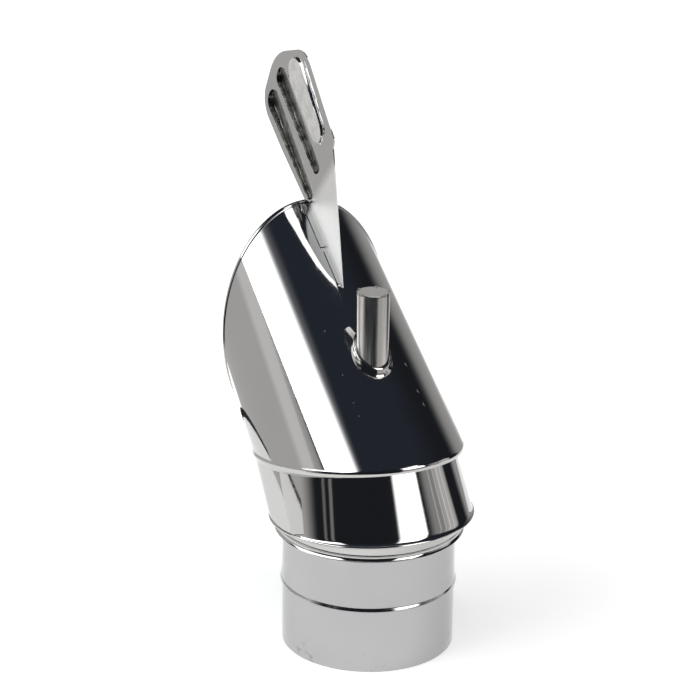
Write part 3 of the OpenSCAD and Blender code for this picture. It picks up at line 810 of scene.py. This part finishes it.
def make_vane():
    flat, tris = vane_net()
    count = len(flat)
    p, q = flat[:, 0], flat[:, 1]
    y = vane_relief(p, q)
    # The front is the side with the hollows seen from -Y.
    front = vane_place(p, q, y - VANE_T / 2)
    back = vane_place(p, q, y + VANE_T / 2)
    a, b, c = front[tris[:, 0]], front[tris[:, 1]], front[tris[:, 2]]
    away = np.cross(b - a, c - a)[:, 1] > 0
    tris[away] = tris[away][:, ::-1]
    walls = [[j, i, i + count, j + count] for i, j in open_edges(tris.tolist())]
    faces = tris.tolist() + (tris[:, ::-1] + count).tolist() + walls
    piece = add_object("vane_sheet", np.vstack([front, back]), faces, "hood", VANE_SHEET, 40)
    rough_foot_painted_highlight(VANE_SHEET)

    # The first two troughs and their walls get a painted dark reflection, and the third trough's floor a
    # painted pale reflection.
    mesh = piece.data
    mesh.materials.append(PAINTED_TROUGH_SHADE)
    mesh.materials.append(PAINTED_TROUGH_HIGHLIGHT)
    middle = flat[tris].mean(1)
    depths = [slot_depth(trough, middle[:, 0], middle[:, 1]) for trough in TROUGHS]
    pale_from = PRESS_SLOPE - 0.09
    marks = np.where(np.maximum(depths[0], depths[1]) > 0, 1, np.where(depths[2] > pale_from, 2, 0))
    mesh.polygons.foreach_set("material_index", [*marks, *marks, *[0] * len(walls)])

    # The triangles get the true surface's normals, and the walls at the edges keep their own.
    normal = vane_normals(p, q)
    normal = np.vstack([normal, -normal])
    loop_normals = np.zeros((len(mesh.loops), 3))
    for poly in mesh.polygons:
        here = list(poly.loop_indices)
        vertices = [mesh.loops[k].vertex_index for k in here]
        loop_normals[here] = poly.normal if len(here) == 4 else normal[vertices]
    mesh.normals_split_custom_set(loop_normals.tolist())
    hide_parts("vane")


# The stage, in the camera's terms: front is +X, back -X, left -Y and right +Y. The floor that the camera
# sees runs on for ever. Mirrors don't see it: they see a white tabletop, along whose back a dark strip of
# painted shadow starts TABLE_STEP to the left. All of them lie a little below the spigot's lower edge.
FLOOR_REACH = 9000.0
FLOOR_Z = -0.5
TABLE_Z = -0.3
TABLE_EDGE_Z = -0.2
TABLE_BACK = 485.0
TABLE_FRONT = 430.0
TABLE_LEFT = 684.0
TABLE_RIGHT = 700.0
TABLE_STEP = 395.0
TABLE_EDGE = 26.0
TABLE_GLOW = 0.45
# A low board stands on the tabletop's left edge. Its top slants up towards the front and has a dark
# edge.
BOARD_BACK = 515.0
BOARD_FRONT = -139.0
BOARD_BACK_H = 56.0
BOARD_FRONT_H = 151.0
BOARD_EDGE = 9.0
DARK_EDGE_AND_SHADOW_GREY = 0.03
SHEET_GREY = 0.8
# A long softbox hangs to the left of the cowl. It is brightest up to SOFTBOX_FULL, fades out towards
# SOFTBOX_DIM with a faint tail above, and fades in over SOFTBOX_END at its front end.
SOFTBOX_Y = 2850.0
SOFTBOX_X = (-2700.0, 1500.0)
SOFTBOX_Z = (1705.0, 7600.0)
SOFTBOX_FULL = 3450.0
SOFTBOX_DIM = 5300.0
SOFTBOX_TAIL = 0.27
SOFTBOX_END = 500.0
SOFTBOX_GLOW = 4.0
SOFTBOX_COLOUR = (0.97, 0.985, 1, 1)
# A small white card hangs over the vane's foot.
CARD_Z = 600.0
CARD_GLOW = 1.6
CARD = [(-140, -35), (-54, -35), (-40, -20), (-24, -7), (0, 24), (14, 67), (20, 110), (-140, 110)]


def flat_sheet(name, corners, glow_strength=TABLE_GLOW, grey=SHEET_GREY):
    """A flat sheet of the stage with a faint glow of its own."""
    mesh = bpy.data.meshes.new(name)
    points = [tuple(v * MM for v in corner) for corner in corners]
    mesh.from_pydata(points, [], [list(range(len(points)))])
    material, n = new_material(name)
    diffuse = n.add("BsdfDiffuse")
    diffuse.inputs["Color"].default_value = (grey, grey, grey * 0.994, 1)
    glow = n.add("Emission")
    glow.inputs["Color"].default_value = (1, 1, 0.995, 1)
    glow.inputs["Strength"].default_value = glow_strength
    n.together(diffuse, glow)
    mesh.materials.append(material)
    sheet = bpy.data.objects.new(name, mesh)
    bpy.context.scene.collection.objects.link(sheet)
    return sheet


def soften(sheet):
    """Let the softbox fade out towards its upper edge and its front end."""
    n = Nodes(sheet.data.materials[0].node_tree)
    x, _, z = n.split(n.add("TexCoord").outputs["Object"])
    front, top = SOFTBOX_X[1], SOFTBOX_Z[1]
    full = n.math("POWER", n.spread(z, SOFTBOX_DIM * MM, SOFTBOX_FULL * MM), 3.0)
    tail = n.math("POWER", n.spread(z, top * MM, SOFTBOX_FULL * MM), 2.0)
    glow = n.math("MULTIPLY_ADD", full, SOFTBOX_GLOW, n.math("MULTIPLY", tail, SOFTBOX_TAIL))
    along = n.spread(x, front * MM, (front - SOFTBOX_END) * MM)
    lamp = n.add("Emission")
    lamp.inputs["Color"].default_value = SOFTBOX_COLOUR
    n.put(lamp.inputs["Strength"], n.math("MULTIPLY", glow, along))
    n.together(n.add("BsdfTransparent"), lamp)


def make_stage():
    table = [(-TABLE_BACK, -TABLE_LEFT), (BOARD_FRONT, -TABLE_LEFT), (TABLE_FRONT, -TABLE_FRONT),
             (TABLE_FRONT, TABLE_RIGHT), (-TABLE_BACK, TABLE_RIGHT)]
    flat_sheet("tabletop", [(x, y, TABLE_Z) for x, y in table])
    far = FLOOR_REACH
    floor = [(-far, -far), (far, -far), (far, far), (-far, far)]
    ground = flat_sheet("floor", [(x, y, FLOOR_Z) for x, y in floor])
    ground.visible_glossy = False
    y, back_h, front_h = -TABLE_LEFT, BOARD_BACK_H, BOARD_FRONT_H
    board = flat_sheet("board", [(-BOARD_BACK, y, 0), (BOARD_FRONT, y, 0), (BOARD_FRONT, y, front_h),
                                 (-BOARD_BACK, y, back_h)])
    edge = flat_sheet("board_edge", [(-BOARD_BACK, y, back_h), (BOARD_FRONT, y, front_h),
                                     (BOARD_FRONT, y, front_h + BOARD_EDGE),
                                     (-BOARD_BACK, y, back_h + BOARD_EDGE)], 0.0, DARK_EDGE_AND_SHADOW_GREY)
    # The dark strip along the tabletop's back edge is a painted shadow, seen only in mirrors.
    rear, outside = -TABLE_BACK, -TABLE_BACK - TABLE_EDGE
    strip = [(rear, -TABLE_STEP), (rear, TABLE_RIGHT), (outside, TABLE_RIGHT), (outside, -TABLE_STEP)]
    back = flat_sheet("table_edge_shadow", [(x, y, TABLE_EDGE_Z) for x, y in strip], 0.0, DARK_EDGE_AND_SHADOW_GREY)
    card = flat_sheet("card", [(x, y, CARD_Z) for x, y in CARD], CARD_GLOW)
    (x0, x1), (z0, z1) = SOFTBOX_X, SOFTBOX_Z
    softbox = flat_sheet("softbox", [(x, -SOFTBOX_Y, z) for x, z in
                                     ((x0, z0), (x1, z0), (x1, z1), (x0, z1))], SOFTBOX_GLOW)
    soften(softbox)
    # All but the floor and the tabletop show only in mirrors, and the softbox also gives light.
    for sheet in (board, edge, back, softbox, card):
        sheet.visible_camera = False
        sheet.visible_diffuse = sheet is softbox
        sheet.visible_shadow = False


OVERHEAD_POWER = 1.15
OVERHEAD_SPREAD = radians(75.0)
OVERHEAD_FROM = Vector((0.25, -0.3, 1.0))


def make_lights():
    lamp = bpy.data.lights.new("overhead", "SUN")
    lamp.energy = OVERHEAD_POWER
    lamp.angle = OVERHEAD_SPREAD
    light = bpy.data.objects.new("overhead", lamp)
    light.rotation_euler = OVERHEAD_FROM.to_track_quat("Z", "Y").to_euler()
    light.visible_glossy = False
    bpy.context.scene.collection.objects.link(light)


# Panels of the studio as the cowl sees them: azimuth range, its two soft edges, elevation range, its
# two soft edges, all in degrees, and the radiance.
PANELS = [
    ((6.0, 38.0), (4.0, 2.5), (8.0, 48.0), (3.0, 3.0), 4.0),
    ((-400.0, -97.0), (1.0, 10.0), (-89.0, 26.9), (1.0, 1.5), 0.62),
    ((-114.0, -104.0), (3.0, 1.0), (8.0, 26.9), (6.0, 1.5), 0.25),
    ((-80.5, -77.5), (0.8, 0.8), (6.0, 20.0), (3.0, 3.0), 0.2),
    ((-73.0, -69.5), (0.8, 0.8), (8.0, 22.0), (3.0, 3.0), 0.26),
    ((46.0, 84.0), (6.0, 1.5), (-60.0, 22.0), (1.0, 5.0), 0.36),
    ((66.0, 82.0), (5.0, 2.0), (-60.0, 20.0), (1.0, 5.0), 0.32),
    ((56.0, 57.5), (1.0, 1.0), (-60.0, 24.0), (1.0, 5.0), 0.35),
    ((63.5, 64.8), (0.8, 0.8), (-60.0, 24.0), (1.0, 5.0), 0.4),
    ((70.0, 71.2), (0.8, 0.8), (-60.0, 24.0), (1.0, 5.0), 0.4),
    ((76.5, 77.6), (0.8, 0.8), (-60.0, 24.0), (1.0, 5.0), 0.35),
    ((4.0, 52.0), (3.0, 3.0), (-60.0, -6.0), (1.0, 4.0), 0.6),
    ((105.0, 400.0), (6.0, 1.0), (-60.0, 16.0), (1.0, 16.0), 0.42),
    ((134.0, 400.0), (13.0, 1.0), (-60.0, -10.0), (1.0, 9.0), 1.15),
    ((132.0, 166.0), (6.0, 6.0), (10.0, 34.0), (6.0, 8.0), 0.42),
]
PANEL_TINT = (1.0, 0.985, 0.97)
AMBIENT = (0.018, 0.020, 0.024)
# The dark ceiling is a little bluer than the rest, between these elevations and above.
TOP_TINT = (0.010, 0.0135, 0.0235)
TOP_FROM = 30.0
TOP_FULL = 60.0
BACKDROP = 1.05


def make_world():
    world = bpy.data.worlds.new("studio")
    world.use_nodes = True
    bpy.context.scene.world = world
    n = Nodes(world.node_tree)
    x, y, z = n.split(n.add("TexCoord").outputs["Generated"])
    azimuth = n.math("MULTIPLY", n.math("ARCTAN2", y, x), 180 / pi)
    elevation = n.math("MULTIPLY", n.math("ARCSINE", z), 180 / pi)

    def window(value, ends, soft):
        rise = n.spread(value, ends[0] - soft[0], ends[0] + soft[0])
        fall = n.spread(value, ends[1] + soft[1], ends[1] - soft[1])
        return n.math("MULTIPLY", rise, fall)

    total = 0.0
    for azimuths, soft_a, elevations, soft_e, radiance in PANELS:
        panel = n.math("MULTIPLY", window(azimuth, azimuths, soft_a), window(elevation, elevations, soft_e))
        total = n.math("MULTIPLY_ADD", panel, radiance, total)
    high = n.spread(elevation, TOP_FROM, TOP_FULL)
    colour = n.add("CombineColor")
    for socket, ambient, top, warm in zip(colour.inputs, AMBIENT, TOP_TINT, PANEL_TINT):
        n.put(socket, n.math("MULTIPLY_ADD", total, warm, n.math("MULTIPLY_ADD", high, top, ambient)))
    studio = n.add("Background")
    n.put(studio.inputs["Color"], colour.outputs[0])
    plain = n.add("Background")
    plain.inputs["Color"].default_value = (1, 1, 1, 1)
    plain.inputs["Strength"].default_value = BACKDROP
    mix = n.add("MixShader")
    n.put(mix.inputs[0], n.add("LightPath").outputs["Is Camera Ray"])
    n.put(mix.inputs[1], studio.outputs[0])
    n.put(mix.inputs[2], plain.outputs[0])
    n.put(n.add("OutputWorld").inputs["Surface"], mix.outputs[0])


# The camera, found by fitting the cowl's outlines to the photograph. It looks from this azimuth and
# elevation, in degrees, and its picture is turned by the roll.
CAMERA_AT = (1871.8, -1069.0, 1061.5)
CAMERA_AZIMUTH = radians(-29.230)
CAMERA_ELEVATION = radians(20.268)
CAMERA_ROLL = radians(0.888)
PHOTO_W = 700
FOCAL_PX = 2713.3
SENSOR = 36.0


def make_camera():
    data = bpy.data.cameras.new("view")
    data.sensor_width = SENSOR
    data.sensor_fit = "HORIZONTAL"
    data.lens = FOCAL_PX / PHOTO_W * SENSOR
    data.clip_end = 50.0
    camera = bpy.data.objects.new("view", data)
    level = Matrix.Rotation(CAMERA_AZIMUTH + pi / 2, 4, "Z")
    tipped = level @ Matrix.Rotation(pi / 2 - CAMERA_ELEVATION, 4, "X")
    turn = tipped @ Matrix.Rotation(CAMERA_ROLL, 4, "Z")
    camera.matrix_world = Matrix.Translation(Vector(CAMERA_AT) * MM) @ turn
    bpy.context.scene.collection.objects.link(camera)
    bpy.context.scene.camera = camera


def dress_cad_nodes():
    slots = {part["node"]: part["material_slot"] for part in frame["record"]["subparts"]}
    for name, piece in frame["nodes"].items():
        piece.data.materials.clear()
        piece.data.materials.append(CAD_LOOKS[slots[name]])


dress_cad_nodes()
make_camera()
make_world()
make_stage()
make_lights()
make_spigot()
make_ring()
make_bead()
make_barrel()
make_hem()
make_lip()
make_tube()
make_vane()

bpy.context.scene.view_settings.view_transform = "Standard"
